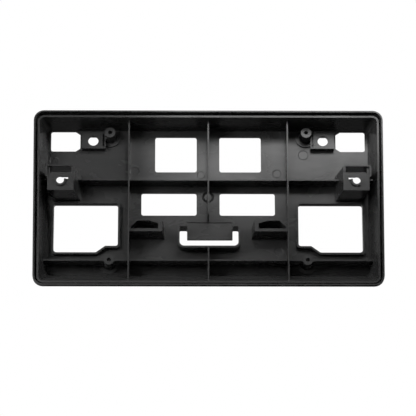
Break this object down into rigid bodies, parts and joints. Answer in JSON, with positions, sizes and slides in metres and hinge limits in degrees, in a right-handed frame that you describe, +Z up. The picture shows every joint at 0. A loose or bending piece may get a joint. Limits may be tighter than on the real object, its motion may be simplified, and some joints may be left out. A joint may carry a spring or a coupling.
{
  "type": "number plate holder",
  "caption": "Rectangular moulded tray that holds a number plate on its flat front, with ribs, screw bosses, windows and hollow bumper posts on its back.",
  "frame": {"origin": "midway between the two bumper posts' screw holes, on the posts' seating faces", "axes": "+X to the right across the car as seen from the bumper, +Y from the bumper to the plate, +Z up"},
  "size_m": [0.314, 0.04, 0.1641],
  "materials": {
    "black_plastic": "black moulded plastic, semi-gloss"
  },
  "bodies": {
    "root": {"plate_holder": "black_plastic"}
  },
  "joints": []
}
